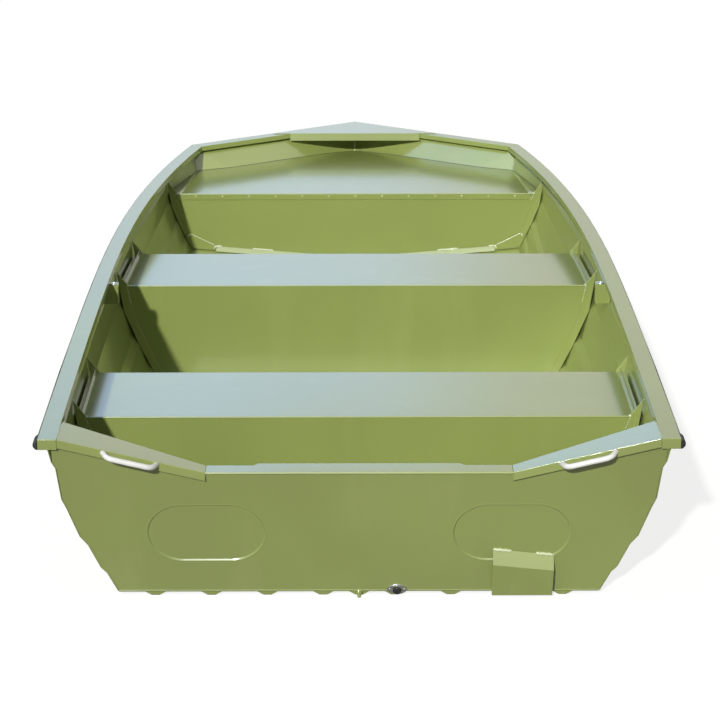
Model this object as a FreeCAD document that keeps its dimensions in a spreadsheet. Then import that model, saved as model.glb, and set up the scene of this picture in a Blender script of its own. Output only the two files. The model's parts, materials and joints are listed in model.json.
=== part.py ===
import FreeCAD, Part
import math
import os

import Sketcher

# Aluminium jon boat, millimetres. X is starboard, Y points to the bow, Z is up.
# The origin is below the middle of the boat, on the plane that its bottom ribs stand on.
# "Station" is the distance forward of the top of the transom.

doc = FreeCAD.newDocument("JonBoat")
sheet = doc.addObject("Spreadsheet::Sheet", "Sizes")

driving = {
    "HullLength": 3539,
    "HalfBeam": 795,
    "BeamStation": 1100,
    "SternNarrowing": 10,
    "BowNarrowing": 180,
    "BowLength": 384,
    "PinchLength": 450,
    "PinchDepth": 12,
    "SheetOffset": 14,
    "ChineInset": 153,
    "ChineSweep": 775,
    "CornerRun": 50,
    "RockerLength": 2063,
    "BowRise": 445,
    "GunwaleHeight": 481,
    "BowHeight": 470,
    "TransomHeight": 380,
    "TransomRake": 15.7,
    "TransomCentreHalf": 389,
    "TransomDepth": 47,
    "CapStep": 13,
    "SheetThickness": 2.5,
    "PlateThickness": 3,
    "CorePlyDepth": 42,
    "CoreHalf": 380,
    "CoreFoot": 22,
    "PadHalf": 257,
    "PadHeight": 230,
    "PadDepth": 12,
    "RailWidth": 48,
    "RailOverhang": 20,
    "RailDepth": 28,
    "RailLip": 20,
    "BowRailLip": 18,
    "StripDepth": 5,
    "StripEndDepth": 12,
    "StripEndLength": 44,
    "RibDepth": 13,
    "RibWidth": 58,
    "RibFlat": 20,
    "FirstRib": 94,
    "RibSpacing": 147,
    "RibRun": 2700,
    "BenchDepth": 364,
    "AftBenchStation": 527,
    "MiddleBenchStation": 1710,
    "BowBenchSetback": 783,
    "BottomOverrun": 24,
    "AftSeatHeight": 342,
    "MiddleSeatHeight": 352,
    "BowSeatHeight": 384,
    "SeatEndGap": 32,
    "BowSeatGap": 55,
    "SeatLip": 14,
    "SeatApron": 24,
    "FrameWidth": 28,
    "FrameTip": 50,
    "FootStrip": 18,
    "FootReach": 10,
    "FootInset": 95,
    "GussetLength": 118,
    "GussetRise": 66,
    "CornerPlateOuter": 125,
    "CornerPlateInner": 45,
    "CornerFlange": 24,
    "HandleTube": 14,
    "HandleSpan": 137,
    "HandleReach": 30,
    "HandleInset": 118,
    "HandleLean": 12,
    "OvalLength": 304,
    "OvalHeight": 184,
    "OvalDepth": 2.2,
    "OvalCentre": 394,
    "OvalLevel": 196,
    "DeckSetback": 196,
    "DeckFlange": 30,
    "BracketWidth": 159,
    "BracketHeight": 105,
    "BracketDepth": 22,
    "BracketSlope": 34.5,
    "BracketSlant": 19,
    "BracketCentre": 426.5,
    "DrainOffset": 99.5,
    "DrainHalf": 26,
    "DrainRise": 17,
    "BoltReach": 18,
    "DrainPlug": 22,
    "DrainLevel": 6,
    "SocketBore": 13,
    "SocketLength": 62,
    "SocketSetback": 310,
    "SocketWidth": 28,
    "EyeRod": 8,
    "EyeSetback": 330,
    "EyeSpan": 40,
    "EyeReach": 30,
    "SeatGap": 0.3,
}
for row, (alias, value) in enumerate(driving.items(), start=1):
    sheet.set("A%d" % row, alias)
    sheet.set("B%d" % row, str(value))
    sheet.setAlias("B%d" % row, alias)
doc.recompute()


class Dim:
    """A length that carries its value and the spreadsheet expression behind it."""

    def __init__(self, text):
        self.text = text

    def __float__(self):
        return float(sheet.evalExpression(self.text))

    def __str__(self):
        return self.text

    def __add__(self, other):
        return Dim("(%s + %s)" % (self, other))

    def __sub__(self, other):
        return Dim("(%s - %s)" % (self, other))

    def __mul__(self, other):
        return Dim("(%s * %s)" % (self, other))

    def __rmul__(self, other):
        return Dim("(%s * %s)" % (other, self))

    def __truediv__(self, other):
        return Dim("(%s / %s)" % (self, other))

    def __pow__(self, other):
        return Dim("(%s ^ %s)" % (self, other))

    def __neg__(self):
        return Dim("(0 - %s)" % self)


def dim(alias):
    return Dim("Sizes." + alias)


def size(alias):
    return float(sheet.get(alias))


vec = FreeCAD.Vector
ribDepth = size("RibDepth")
sheetT = size("SheetThickness")
plateT = size("PlateThickness")
gap = size("SeatGap")
rake = size("TransomRake")
rakeTan = math.tan(math.radians(rake))
hullLength = size("HullLength")
cornerStation = hullLength - size("BowLength")

# The handles reach behind the transom, and the rail and its strip reach ahead of the hull.
sternY = (dim("HandleReach") - dim("HullLength") - dim("RailOverhang") - dim("StripDepth")) / 2
sternShift = float(sternY)


# Hull lines -----------------------------------------------------------------

beamPower = 2.8       # how late the plan shape turns in towards the bow
keelPower = 2.8       # how late the keel rises towards the bow
chineRise = 0.75      # share of the side's height that the chine has climbed near the bow corner
chinePower = 2.3      # how late the chine climbs towards the bow
chineEase = 0.5       # below 1 the chine moves outwards earlier than it climbs
bowFullness = 0.75    # added to the power of the bow panels' curve, which is straight where they start


def rail_line(station):
    """Half width of the gunwale's guide line at a station; takes a number or a Dim."""
    ahead = dim("HullLength") - dim("BowLength") - dim("BeamStation")
    isAhead = float(station) > size("BeamStation")
    if isinstance(station, Dim):
        if isAhead:
            return dim("HalfBeam") - dim("BowNarrowing") * ((station - dim("BeamStation")) / ahead) ** beamPower
        return dim("HalfBeam") - dim("SternNarrowing") * ((dim("BeamStation") - station) / dim("BeamStation")) ** 2
    if isAhead:
        reach = (station - size("BeamStation")) / (cornerStation - size("BeamStation"))
        return size("HalfBeam") - size("BowNarrowing") * reach ** beamPower
    reach = (size("BeamStation") - station) / size("BeamStation")
    return size("HalfBeam") - size("SternNarrowing") * reach ** 2


def spread(start, end, count):
    return [start + (end - start) * index / (count - 1) for index in range(count)]


bowBench = hullLength - size("BowBenchSetback")
bottomEnd = bowBench + size("BottomOverrun")
facetStart = cornerStation - size("CornerRun")
sideEnd = cornerStation - 0.15 * size("CornerRun")
bottomStations = spread(size("PinchLength") / 2, bottomEnd, 14)
bowStations = spread(bottomEnd, facetStart, 6)[1:] + [sideEnd]
hullStations = [0] + bottomStations + bowStations + spread(cornerStation, hullLength, 7)


def between_frames(line, station):
    """A hull line read along straight runs between the stations where the sheets are shaped."""
    for low, high in zip(hullStations, hullStations[1:]):
        if station <= high:
            share = (station - low) / (high - low)
            return line(low) + (line(high) - line(low)) * share
    return line(hullStations[-1])


def side_top(station):
    """Outer face of the side sheet at its top edge."""
    return between_frames(side_curve, station)


def side_curve(station):
    """The same as a curve, pinched in over the last stretch to the transom."""
    half = rail_line(station) + size("SheetOffset")
    pinch = max(0.0, 1 - station / size("PinchLength"))
    return half - size("PinchDepth") * pinch ** 2


def rail_top(station):
    share = min(1.0, station / cornerStation)
    return ribDepth + size("GunwaleHeight") + (size("BowHeight") - size("GunwaleHeight")) * share


def side_height(station):
    return rail_top(station) - plateT - gap


def keel_height(station):
    return between_frames(keel_curve, station)


def keel_curve(station):
    start = hullLength - size("RockerLength")
    climb = max(0.0, (station - start) / size("RockerLength"))
    return ribDepth + size("BowRise") * climb ** keelPower


def chine_share(station):
    """0 along the flat bottom, rising slowly, then steeply to 1 at the bow corner."""
    start = cornerStation - size("ChineSweep")
    sweep = max(0.0, (min(station, facetStart) - start) / size("ChineSweep"))
    steep = min(1.0, max(0.0, station - facetStart) / size("CornerRun"))
    slow = chineRise * sweep ** chinePower
    return slow + (1 - slow) * steep


def chine_half(station):
    return side_curve(station) - size("ChineInset") * (1 - chine_share(station) ** chineEase)


def chine_height(station):
    return keel_curve(station) + chine_share(station) * (side_height(station) - keel_curve(station))


def chine_point(station):
    return between_frames(chine_half, station), between_frames(chine_height, station)


# The side sheet's pressed steps, from chine to gunwale, as shares of its height and of its flare.
strakes = [(0, 0), (0.12, 0.16), (0.16, 0.26), (0.31, 0.44), (0.37, 0.57),
           (0.56, 0.75), (0.62, 0.82), (0.82, 0.87), (0.86, 0.93), (1, 1)]
# A line that only touches the inner corners of those steps.
innerCorners = [(0, 0), (0.12, 0.16), (0.31, 0.44), (0.56, 0.75), (0.82, 0.87), (1, 0.95)]


def along(outline, share):
    for (lowShare, lowX), (highShare, highX) in zip(outline, outline[1:]):
        if share <= highShare:
            return lowX + (highX - lowX) * (share - lowShare) / (highShare - lowShare)
    return outline[-1][1]


def strake_fade(station):
    """1 along the hull, falling to 0 where the steps die out at the bow corner's flat facet."""
    return 1 - min(1.0, max(0.0, (station - bottomEnd) / (facetStart - bottomEnd)))


def side_point(station, height, flare):
    x, z = chine_point(station)
    eased = height + (flare - height) * strake_fade(station)
    return x + eased * (side_top(station) - x), z + height * (side_height(station) - z)


def inner_half(station, level):
    """Half width just inside the steps of the side sheet, at a height above the ribs' plane."""
    x, z = chine_point(station)
    share = (level - z) / (side_height(station) - z)
    flare = along(innerCorners, min(1.0, max(0.0, share)))
    return side_point(station, share, flare)[0] - sheetT - gap


# Document helpers -------------------------------------------------------------

subParts = []


def feature(label, shape):
    """A sub-part whose shape follows the hull's curves."""
    item = doc.addObject("Part::Feature", label)
    item.Label = label
    item.Shape = shape
    item.Placement = FreeCAD.Placement(vec(0, sternShift, 0), FreeCAD.Rotation())
    subParts.append(item)
    return item


def add_sketch(body, role, outline, name):
    """A closed outline on one of the body's own planes; its corners are bound to expressions."""
    sketch = body.newObject("Sketcher::SketchObject", name)
    plane = [item for item in body.Origin.OriginFeatures if item.Role == role][0]
    sketch.AttachmentSupport = [(plane, "")]
    sketch.MapMode = "FlatFace"
    corners = [(float(x), float(y)) for x, y in outline]
    count = len(corners)
    for index, (x, y) in enumerate(corners):
        nextX, nextY = corners[(index + 1) % count]
        sketch.addGeometry(Part.LineSegment(vec(x, y, 0), vec(nextX, nextY, 0)), False)
    for index in range(count):
        sketch.addConstraint(Sketcher.Constraint("Coincident", index, 2, (index + 1) % count, 1))
    for index, (x, y) in enumerate(outline):
        for kind, where in (("DistanceX", x), ("DistanceY", y)):
            spot = sketch.addConstraint(Sketcher.Constraint(kind, -1, 1, index, 1, float(where)))
            sketch.renameConstraint(spot, "%s%d" % (kind, index))
            if isinstance(where, Dim):
                sketch.setExpression("Constraints.%s%d" % (kind, index), str(where))
    return sketch


def add_pad(body, role, outline, length, name, midplane=False, reverse=False):
    sketch = add_sketch(body, role, outline, name + "Outline")
    pad = body.newObject("PartDesign::Pad", name)
    pad.Profile = sketch
    pad.setExpression("Length", str(length))
    pad.Midplane = midplane
    pad.Reversed = reverse
    return pad


def new_body(label, x=0, y=0, z=0, turn=None):
    """A PartDesign body placed from the spreadsheet; y is a station."""
    body = doc.addObject("PartDesign::Body", label)
    body.Label = label
    place = (float(x), float(sternY + y), float(z))
    rotation = FreeCAD.Rotation() if turn is None else turn
    body.Placement = FreeCAD.Placement(vec(*place), rotation)
    body.setExpression("Placement.Base.x", str(x))
    body.setExpression("Placement.Base.y", str(sternY + y))
    body.setExpression("Placement.Base.z", str(z))
    subParts.append(body)
    return body


def mirror_outline(half):
    """A symmetric outline from its starboard half, listed from bottom to top."""
    return half + [(-x, y) for x, y in reversed(half)]


def polygon(points):
    return Part.makePolygon([vec(*point) for point in points] + [vec(*points[0])])


def loft(sections, ruled=False):
    return Part.makeLoft([polygon(section) for section in sections], True, ruled)


def mirrored(shape):
    return shape.mirror(vec(0, 0, 0), vec(1, 0, 0))


def both_sides(name, shape):
    feature(name + "_starboard", shape)
    feature(name + "_port", mirrored(shape))


# Hull skin ----------------------------------------------------------------------

def raked(z):
    """Station of the transom's aft face at a height."""
    return (ribDepth + size("GunwaleHeight") - z) * rakeTan


def side_section(station, atTransom=False):
    outer = []
    for height, flare in strakes:
        x, z = side_point(station, height, flare)
        outer.append((x, z + (1 - height) * (sheetT + gap)))
    inner = [(px - sheetT, pz) for px, pz in reversed(outer)]
    if atTransom:
        return [(px, raked(pz), pz) for px, pz in outer + inner]
    return [(px, station, pz) for px, pz in outer + inner]


sideSections = [side_section(0, True)] + [side_section(station) for station in bottomStations + bowStations]
both_sides("side_sheet", loft(sideSections, True))


def bottom_section(station, atTransom=False):
    x, z = chine_point(station)
    keel = keel_height(station)
    if atTransom:
        station = raked(keel)
    lower = [(-x, station, z), (0, station, keel), (x, station, z)]
    return lower + [(px, py, pz + sheetT) for px, py, pz in reversed(lower)]


bottomSheet = loft([bottom_section(0, True)] + [bottom_section(station) for station in bottomStations], True)
feature("bottom_sheet", bottomSheet)


def bow_edge(station):
    """The bow panel's outer edge: along the chine to the corner, then under the bow rail."""
    x, z = chine_point(min(station, cornerStation))
    z = z - chine_share(station) * sheetT
    if station > cornerStation:
        x = x * (hullLength - station) / size("BowLength")
    return x, z


def panel_power(station):
    return 1 + bowFullness * min(1.0, max(0.0, (station - bottomEnd) / (facetStart - bottomEnd)))


def panel_section(station):
    x, z = bow_edge(station)
    keel = keel_height(station)
    shares = spread(0, 1, 7)
    lower = [(gap / 2 + (x - gap / 2) * share, station, keel + (z - keel) * share ** panel_power(station))
             for share in shares]
    return lower + [(px, py, pz + sheetT) for px, py, pz in reversed(lower)]


def panel_reach(station, level):
    """Half width at which the bow panel's underside reaches a level."""
    x, z = bow_edge(station)
    keel = keel_height(station)
    return x * max(0.0, (level - keel) / (z - keel)) ** (1 / panel_power(station))


panelStart = bottomEnd + gap
noseStation = hullLength - size("RailOverhang")
noseStations = [station for station in hullStations if cornerStation <= station < noseStation]
panelStations = [panelStart] + bowStations + noseStations + [noseStation]
both_sides("bow_panel", loft([panel_section(station) for station in panelStations], True))


def rib_section(x, station, depth):
    """A pressed rib's outline below the bottom sheet."""
    wide = size("RibWidth") / 2
    narrow = size("RibFlat") / 2
    edge, chine = chine_point(station)
    keel = keel_height(station)
    section = []
    for reach, drop in ((-wide, gap), (-narrow, depth), (narrow, depth), (wide, gap), (0, gap)):
        rise = (chine - keel) * abs(x + reach) / edge
        section.append((x + reach, station, keel + rise - drop))
    return section


ribs = []
ribRunOut = 2         # what is left of a rib's depth at its front end
ribStations = [station for station in bottomStations if station < size("RibRun")]
for side in (-1, 0, 1):
    lanes = [0] if side == 0 else [side * (size("FirstRib") + lane * size("RibSpacing")) for lane in range(4)]
    for x in lanes:
        start = [(px, raked(pz), pz) for px, py, pz in rib_section(x, 0, ribDepth)]
        full = [rib_section(x, station, ribDepth) for station in ribStations[:-1]]
        ribs.append(loft([start] + full + [rib_section(x, ribStations[-1], ribRunOut)], True))
feature("bottom_ribs", Part.makeCompound(ribs))


# Gunwales -------------------------------------------------------------------------

railWidth = size("RailWidth")
overhang = size("RailOverhang")
inboard = railWidth - overhang
railDepth = size("RailDepth")


def channel_profile(lip):
    """Rail channel: distance outboard of the guide line, and height from the rail's top."""
    return [(-inboard, 0), (overhang, 0), (overhang, -railDepth), (overhang - plateT, -railDepth),
            (overhang - plateT, -plateT), (plateT - inboard, -plateT), (plateT - inboard, -lip),
            (-inboard, -lip)]


def strip_profile(depth):
    low = -railDepth - 2
    return [(overhang + gap, -1), (overhang + 0.6 * depth, -0.15 * railDepth),
            (overhang + depth, -0.4 * railDepth), (overhang + depth, -0.7 * railDepth),
            (overhang + 0.6 * depth, low + 4), (overhang + gap, low)]


def profile_at(profile, origin, normal, top):
    return [(origin[0] + a * normal[0], origin[1] + a * normal[1], top + b) for a, b in profile]


def side_normal(station):
    step = 5
    slope = (rail_line(station + step) - rail_line(station - step)) / (2 * step)
    long = math.hypot(1, slope)
    return 1 / long, -slope / long


cornerX = rail_line(cornerStation)
bowLong = math.hypot(cornerX, size("BowLength"))
bowNormal = (size("BowLength") / bowLong, cornerX / bowLong)
endNormal = side_normal(cornerStation - 5)
mitreSum = (bowNormal[0] + endNormal[0], bowNormal[1] + endNormal[1])
mitreScale = 2 / (mitreSum[0] ** 2 + mitreSum[1] ** 2)
mitreNormal = (mitreSum[0] * mitreScale, mitreSum[1] * mitreScale)
tipNormal = (0, 1 / bowNormal[1])


def side_run(profile):
    sections = []
    for station in spread(0, cornerStation, 13)[:-1]:
        normal = (1, 0) if station == 0 else side_normal(station)
        sections.append(profile_at(profile, (rail_line(station), station), normal, rail_top(station)))
    corner = (cornerX, cornerStation)
    sections.append(profile_at(profile, corner, mitreNormal, rail_top(cornerStation)))
    return loft(sections)


def bow_run(profile):
    corner = profile_at(profile, (cornerX, cornerStation), mitreNormal, rail_top(cornerStation))
    tip = profile_at(profile, (0, hullLength), tipNormal, rail_top(cornerStation))
    return loft([corner, tip], True)


# The side rail is in four lengths, butted with a hair's gap.
sideRail = side_run(channel_profile(size("RailLip")))
railJoints = spread(0, cornerStation, 5)[1:-1]
across = size("HalfBeam") - railWidth - size("BowNarrowing")
for joint in railJoints:
    kerf = Part.makeBox(size("HalfBeam"), gap, 2 * railDepth, vec(across, joint, rail_top(joint) - 1.5 * railDepth))
    sideRail = sideRail.cut(kerf)
both_sides("gunwale", sideRail)
both_sides("bow_rail", bow_run(channel_profile(size("BowRailLip"))))
stripSide = side_run(strip_profile(size("StripDepth")))
stripBow = bow_run(strip_profile(size("StripDepth")))
stripEnd = size("StripEndLength") - plateT
endRoom = Part.makeBox(size("HalfBeam"), stripEnd + gap, 2 * railDepth, vec(railWidth, 0, rail_top(0) - 1.5 * railDepth))
both_sides("rub_strip", stripSide.fuse(stripBow).cut(endRoom))

# Thicker rubber ends close the strip at the stern.
endSections = []
for station in (-plateT, stripEnd):
    origin = (rail_line(max(0, station)), station)
    endSections.append(profile_at(strip_profile(size("StripEndDepth")), origin, (1, 0), rail_top(0)))
both_sides("strip_end", loft(endSections, True))


# Plates that close the rails at the stern, just behind the channel's end.
endPlate = Part.makeBox(railWidth, plateT, railDepth,
                        vec(rail_line(0) - inboard, -plateT, rail_top(0) - railDepth))
both_sides("rail_end", endPlate)


# Transom ----------------------------------------------------------------------------

def slope_length(height):
    """Height above the ribs' plane to distance up the raked transom from its foot."""
    return (height - ribDepth) / math.cos(math.radians(rake))


tilt = FreeCAD.Rotation(vec(1, 0, 0), rake)
footStation = Dim("(Sizes.GunwaleHeight * tan(Sizes.TransomRake))")


def raked_body(label, ahead, x=0):
    """A body whose XZ plane lies in the transom's plane, a distance ahead of its aft face."""
    station = footStation + ahead * Dim("cos(Sizes.TransomRake)")
    height = dim("RibDepth") + ahead * Dim("sin(Sizes.TransomRake)")
    return new_body(label, x, station, height, tilt)


transomSide = []
for height, flare in strakes:
    px, pz = side_point(0, height, flare)
    if pz < rail_top(0) - railDepth - 4:
        transomSide.append((px - sheetT - 3 * gap, slope_length(max(pz, ribDepth + sheetT + gap))))
railInner = rail_line(0) - inboard - 2
underRail = slope_length(rail_top(0) - railDepth - 2)
foldDrop = plateT + gap + (plateT + 1) * rakeTan
shoulder = (dim("GunwaleHeight") - foldDrop) / Dim("cos(Sizes.TransomRake)")
centreTop = (dim("TransomHeight") - foldDrop) / Dim("cos(Sizes.TransomRake)")
lastX = inner_half(0, rail_top(0) - railDepth - 2)
transomHalf = transomSide + [(lastX, underRail), (railInner, underRail), (railInner, shoulder),
                             (dim("TransomCentreHalf"), centreTop)]
plate = raked_body("transom_plate", 0)
add_pad(plate, "XZ_Plane", mirror_outline(transomHalf), dim("PlateThickness"), "TransomPlate", reverse=True)


def oval_outline(centre):
    """A long oval: two straight runs joined by half rounds of short chords."""
    halfHeight = size("OvalHeight") / 2
    reach = size("OvalLength") / 2 - halfHeight
    points = []
    for turn in range(-90, 271, 15):
        angle = math.radians(turn)
        end = reach if turn <= 90 else -reach
        points.append((centre + end + halfHeight * math.cos(angle), size("OvalLevel") + halfHeight * math.sin(angle)))
        if turn == 90:
            points.append((centre - reach, size("OvalLevel") + halfHeight))
    return points


for side, tag in ((-1, "Port"), (1, "Starboard")):
    sunkOval = plate.newObject("PartDesign::Pocket", "Oval" + tag)
    sunkOval.Profile = add_sketch(plate, "XZ_Plane", oval_outline(side * size("OvalCentre")), tag + "OvalOutline")
    sunkOval.setExpression("Length", "Sizes.OvalDepth")

coreStart = dim("PlateThickness") + gap / 2
coreTop = centreTop - (dim("PlateThickness") + dim("CorePlyDepth")) * Dim("tan(Sizes.TransomRake)")
padTop = coreTop - dim("PadDepth") * Dim("tan(Sizes.TransomRake)")
core = raked_body("transom_core", coreStart)
coreHalf = [(dim("CoreHalf"), dim("CoreFoot")), (dim("CoreHalf"), coreTop)]
add_pad(core, "XZ_Plane", mirror_outline(coreHalf), dim("CorePlyDepth"), "Core", reverse=True)

padStart = coreStart + dim("CorePlyDepth") + gap / 2
motorPad = raked_body("motor_pad", padStart)
padHalf = [(dim("PadHalf"), padTop - dim("PadHeight")), (dim("PadHalf"), padTop)]
add_pad(motorPad, "XZ_Plane", mirror_outline(padHalf), dim("PadDepth"), "MotorPad", reverse=True)

capStation = (dim("GunwaleHeight") - dim("TransomHeight")) * Dim("tan(Sizes.TransomRake)")
cap = new_body("transom_cap", 0, capStation, dim("RibDepth") + dim("TransomHeight") - dim("PlateThickness"))
capDeep = dim("TransomDepth") + dim("CapStep")
capHalf = [(dim("TransomCentreHalf"), 0), (dim("TransomCentreHalf"), dim("TransomDepth")),
           (dim("PadHalf") + dim("CapStep"), dim("TransomDepth")), (dim("PadHalf"), capDeep)]
add_pad(cap, "XY_Plane", mirror_outline(capHalf), dim("PlateThickness"), "Cap")

# Corner plates: a tapered top plate and a flange folded straight down, clear of the raked transom.
lowTop = ribDepth + size("TransomHeight")
highTop = ribDepth + size("GunwaleHeight")
foldIn = vec(size("TransomCentreHalf") + gap, raked(lowTop), lowTop)
foldOut = vec(rail_line(0) - inboard - gap, 0, highTop)
downSlope = vec(0, math.sin(math.radians(rake)), -math.cos(math.radians(rake)))
aftNormal = vec(0, -math.cos(math.radians(rake)), -math.sin(math.radians(rake)))
foldLine = (foldOut - foldIn).normalize()


def plate_solid(corners, push):
    """A flat plate: its outline and the vector through its thickness."""
    face = Part.Face(Part.makePolygon(corners + [corners[0]]))
    return face.extrude(push)


topPlate = plate_solid([foldIn, foldOut, foldOut + vec(0, size("CornerPlateOuter"), 0),
                        foldIn + vec(0, size("CornerPlateInner"), 0)], vec(0, 0, -plateT))
flangeDrop = vec(0, 0, -size("CornerFlange"))
flangeNormal = foldLine.cross(vec(0, 0, 1)).normalize()
cornerFlange = plate_solid([foldIn, foldOut, foldOut + flangeDrop, foldIn + flangeDrop], flangeNormal * plateT)
both_sides("corner_plate", topPlate.fuse(cornerFlange).removeSplitter())


def tube(corners, radius, bend):
    """A round bar along straight runs joined by arcs."""
    edges = []
    start = corners[0]
    for before, corner, after in zip(corners, corners[1:], corners[2:]):
        into = (corner - before).normalize()
        away = (after - corner).normalize()
        halfTurn = into.getAngle(away) / 2
        trim = bend * math.tan(halfTurn)
        enter = corner - into * trim
        leave = corner + away * trim
        bisector = (away - into).normalize()
        middle = corner + bisector * (bend / math.cos(halfTurn) - bend)
        edges.append(Part.makeLine(start, enter))
        edges.append(Part.Arc(enter, middle, leave).toShape())
        start = leave
    edges.append(Part.makeLine(start, corners[-1]))
    path = Part.Wire(edges)
    ring = Part.Wire(Part.makeCircle(radius, corners[0], (corners[1] - corners[0]).normalize()))
    return path.makePipeShell([ring], True, True)


handleOuter = foldOut - foldLine * size("HandleInset") + flangeDrop / 3
handleOuter = handleOuter + flangeNormal * (plateT + gap)
handleInner = handleOuter - foldLine * size("HandleSpan")
handleReach = flangeNormal * size("HandleReach")
handleLean = foldLine * size("HandleLean")
# The leaning legs start behind the flange's face and are cut off flush with it.
legRoot = 0.4
outerLeg = handleReach - handleLean
innerLeg = handleReach + handleLean
handleRoute = [handleOuter - outerLeg * legRoot, handleOuter + outerLeg,
               handleInner + innerLeg, handleInner - innerLeg * legRoot]
handleBend = 0.75 * size("HandleReach")
handleTube = tube(handleRoute, size("HandleTube") / 2, handleBend)
beyond = foldLine * size("HandleSpan")
tall = vec(0, 0, 2 * size("CornerFlange"))
behindFlange = plate_solid([handleOuter + beyond + tall, handleInner - beyond + tall,
                            handleInner - beyond - tall, handleOuter + beyond - tall],
                           flangeNormal * (-2 * size("HandleReach")))
both_sides("stern_handle", handleTube.cut(behindFlange))


# Benches --------------------------------------------------------------------------------

def side_frame(station, seatHeight, facing):
    """An upright strip that follows the hull's side from the floor to a point above the seat."""
    chineX, chineZ = chine_point(station)
    seat = ribDepth + seatHeight
    low = chineZ + sheetT + gap + 1
    rise = side_height(station) - chineZ
    levels = [low] + [chineZ + rise * share for share in (0.12, 0.31, 0.56)]
    levels = [level for level in levels if low <= level < seat]
    tipLevel = seat + size("FrameTip")
    outer = [(inner_half(station, level) - 3 * gap, level) for level in levels + [tipLevel]]
    inner = [(inner_half(station, seat) - size("FrameWidth"), seat + 0.1 * size("FrameTip"))]
    inner += [(x - size("FrameWidth"), level) for x, level in reversed(outer[:-1])]
    corners = [vec(x, station, level) for x, level in outer + inner]
    return plate_solid(corners, vec(0, facing * plateT, 0))


def panel_outline(station, seatHeight):
    """A bench's upright panel, from the bottom sheet to the seat's underside."""
    chineX, chineZ = chine_point(station)
    seat = ribDepth + seatHeight - sheetT - gap
    tuck = size("FrameWidth") / 2
    low = chineZ + sheetT + 3 * gap
    keel = keel_height(station) + sheetT + 3 * gap
    middle = chineZ + 0.31 * (side_height(station) - chineZ)
    right = [(inner_half(station, low + 4) - tuck, low), (inner_half(station, middle) - tuck, middle),
             (inner_half(station, seat) - tuck, seat)]
    left = [(-x, z) for x, z in reversed(right)]
    return [(0, keel)] + right + left


def bench_panel(label, station, seatHeight, facing):
    corners = [vec(x, station, z) for x, z in panel_outline(station, seatHeight)]
    feature(label, plate_solid(corners, vec(0, facing * sheetT, 0)))


def bench_frames(label, stations, seatHeight):
    """Side frames at a bench's rear and front, on the outer faces of its panels."""
    strips = []
    for station, facing in stations:
        strip = side_frame(station, seatHeight, facing)
        strips += [strip, mirrored(strip)]
    feature(label, Part.makeCompound(strips))


def seat_lips(body, rear, front, depth):
    """Low lips along the seat, a little inboard of its two ends."""
    for side, tag in ((-1, "Port"), (1, "Starboard")):
        inner = -side * dim("SheetThickness")
        lip = [(side * rear, 0), (side * front, depth), (side * front + inner, depth), (side * rear + inner, 0)]
        add_pad(body, "XY_Plane", lip, dim("SeatLip"), "Lip" + tag)


for name, stationName, heightName in (("aft_bench", "AftBenchStation", "AftSeatHeight"),
                                      ("middle_bench", "MiddleBenchStation", "MiddleSeatHeight")):
    rearStation = size(stationName)
    frontStation = rearStation + size("BenchDepth")
    seatHeight = size(heightName)
    seatZ = dim("RibDepth") + dim(heightName) - dim("SheetThickness")
    rearHalf = rail_line(dim(stationName)) - dim("SeatEndGap")
    frontHalf = rail_line(dim(stationName) + dim("BenchDepth")) - dim("SeatEndGap")
    rearEnd, frontEnd = [inner_half(station, ribDepth + seatHeight - sheetT) - 3 * gap
                         for station in (rearStation, frontStation)]
    seat = new_body(name + "_seat", 0, dim(stationName), seatZ)
    add_pad(seat, "XY_Plane", mirror_outline([(rearEnd, 0), (frontEnd, dim("BenchDepth"))]),
            dim("SheetThickness"), "Top")
    seat_lips(seat, rearHalf, frontHalf, dim("BenchDepth"))
    bench_panel(name + "_rear_panel", rearStation + gap, seatHeight, 1)
    bench_panel(name + "_front_panel", frontStation - gap, seatHeight, -1)
    bench_frames(name + "_frames", [(rearStation - gap, -1), (frontStation + gap, 1)], seatHeight)

bowSeatLow = ribDepth + size("BowSeatHeight") - sheetT
bench_panel("bow_bench_rear_panel", bowBench + gap, size("BowSeatHeight"), 1)
bench_frames("bow_bench_frames", [(bowBench - gap, -1)], size("BowSeatHeight"))


def station_where(height_at, level, low, high):
    """The station at which a rising height reaches a level."""
    for _ in range(40):
        middle = (low + high) / 2
        if height_at(middle) < level:
            low = middle
        else:
            high = middle
    return low


panelClear = sheetT + 10 * gap
stemReach = station_where(lambda at: keel_height(at) + panelClear, bowSeatLow, bowBench, hullLength)
sideReach = station_where(lambda at: bow_edge(at)[1] + panelClear, bowSeatLow, bowBench, cornerStation)


def seat_reach(station):
    """Half width of the bow seat, clear of the bow panel and of the side sheet's foot."""
    return min(panel_reach(station, bowSeatLow - panelClear), bow_edge(station)[0] - panelClear)


seatRear = rail_line(bowBench) - size("BowSeatGap")
seatFront = seat_reach(sideReach)
bowSeatHalf = [(seatRear, bowBench)]
for station in spread(bowBench, sideReach, 6)[1:-1]:
    share = (station - bowBench) / (sideReach - bowBench)
    straight = seatRear + (seatFront - seatRear) * share
    bowSeatHalf.append((min(straight, inner_half(station, bowSeatLow) - panelClear), station))
bowSeatHalf += [(seat_reach(station), station) for station in spread(sideReach, stemReach, 7)]
outline = bowSeatHalf[:-1] + [(0, stemReach)] + [(-x, y) for x, y in reversed(bowSeatHalf[:-1])]
bowSeat = plate_solid([vec(x, y, bowSeatLow) for x, y in outline], vec(0, 0, sheetT))
apron = Part.makeBox(2 * bowSeatHalf[0][0], sheetT, size("SeatApron"),
                     vec(-bowSeatHalf[0][0], bowBench - sheetT, bowSeatLow + sheetT - size("SeatApron")))
feature("bow_bench_seat", bowSeat.fuse(apron).removeSplitter())

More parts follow.
